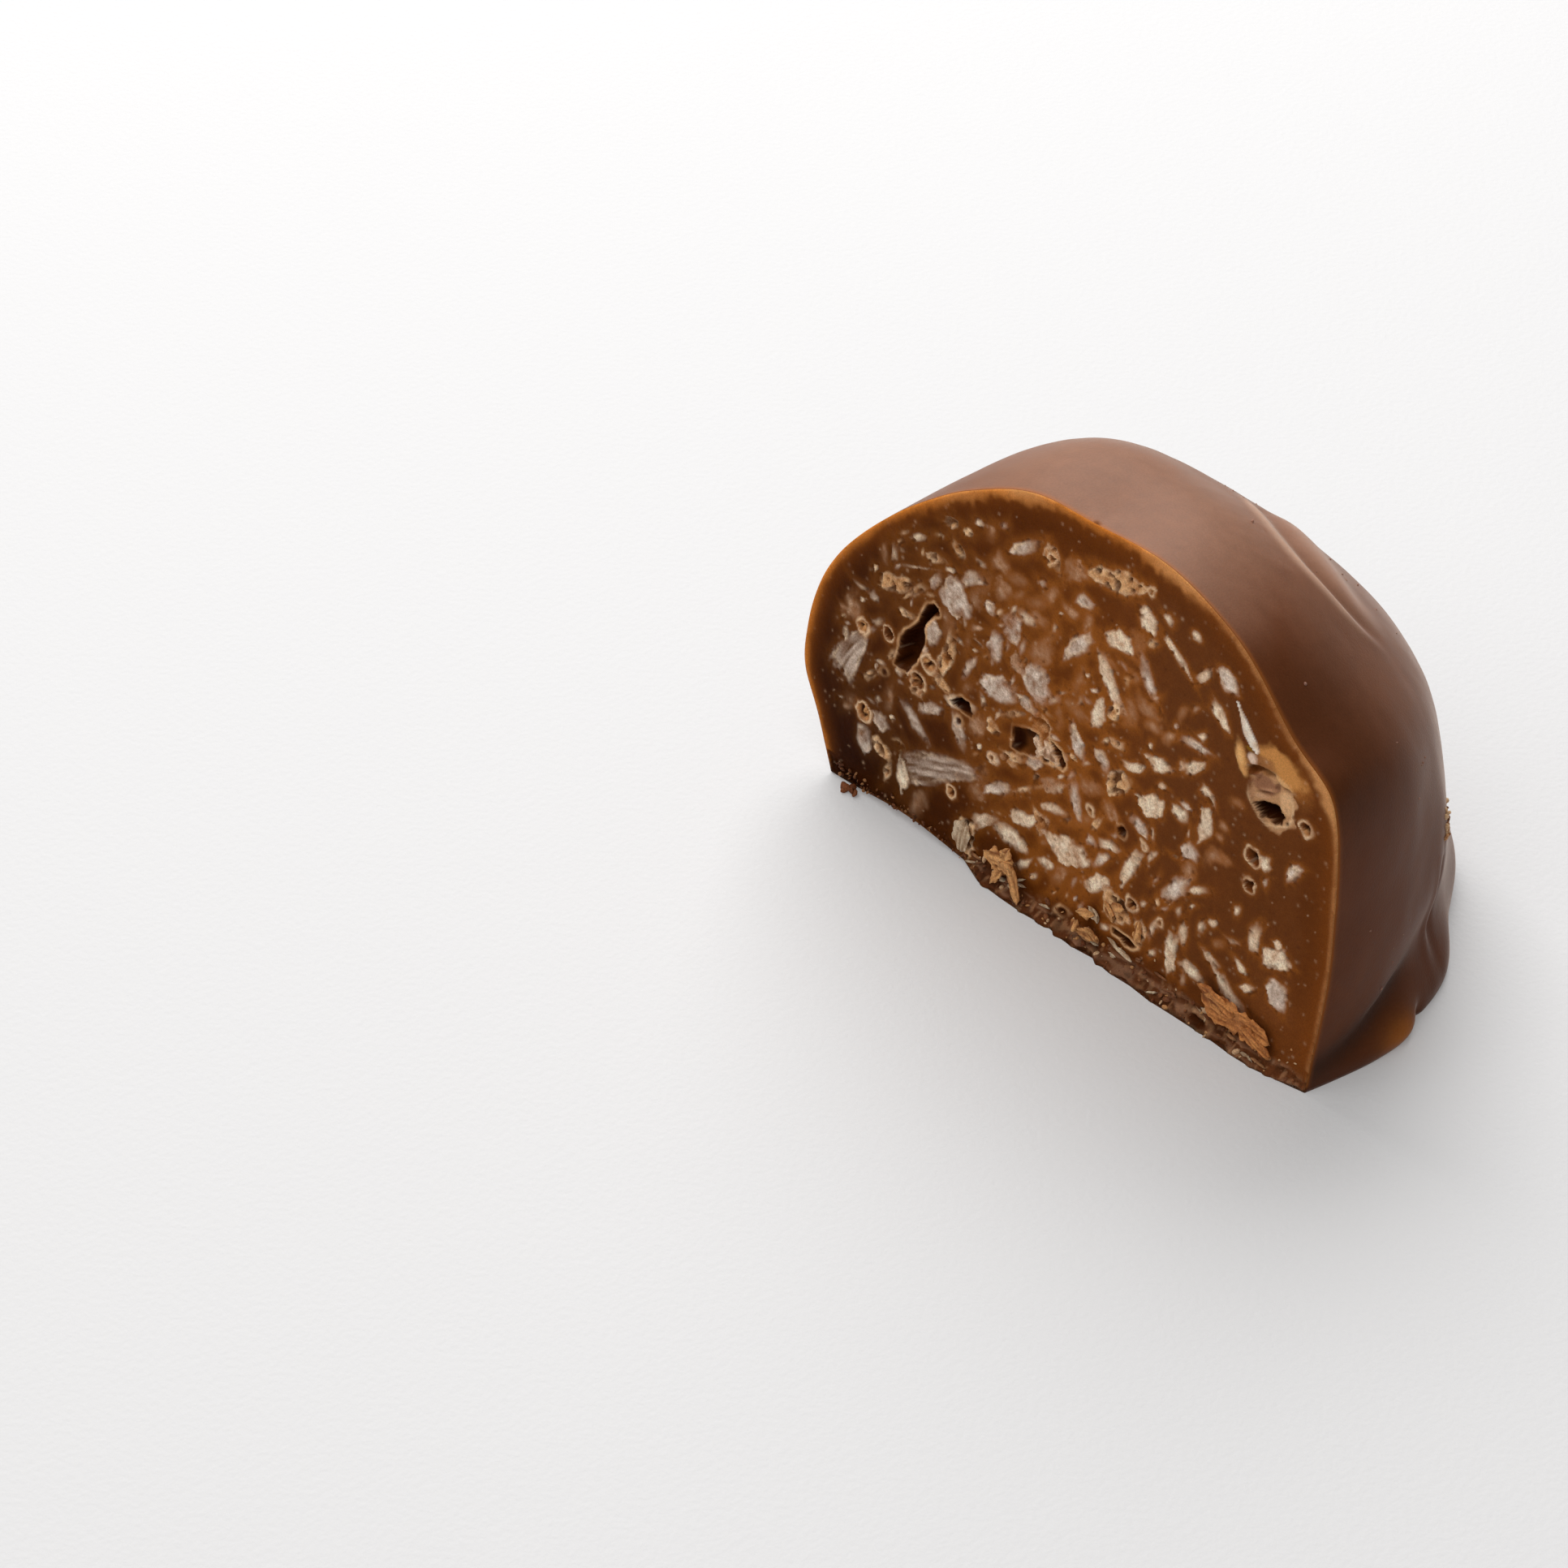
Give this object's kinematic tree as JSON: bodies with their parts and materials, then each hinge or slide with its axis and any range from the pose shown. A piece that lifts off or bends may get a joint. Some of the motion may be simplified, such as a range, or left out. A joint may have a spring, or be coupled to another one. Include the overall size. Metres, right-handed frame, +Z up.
{
  "type": "chocolate coconut cluster",
  "caption": "Half of a dome-shaped milk chocolate on a flat base, cut open to show a coconut flake filling with small air bubbles.",
  "frame": {"origin": "middle of the footprint, at the level of the flat base", "axes": "+X along the cut, towards the steep side of the dome; +Y from the cut face back into the piece; +Z up"},
  "size_m": [0.0342, 0.0192, 0.0221],
  "materials": {
    "milk_chocolate": "satin milk chocolate, faintly mottled and a little greyer on top",
    "coconut_filling": "cut chocolate and coconut filling, satin, with pale translucent flakes"
  },
  "bodies": {
    "root": {"coating": "milk_chocolate", "filling": "coconut_filling"}
  },
  "joints": []
}
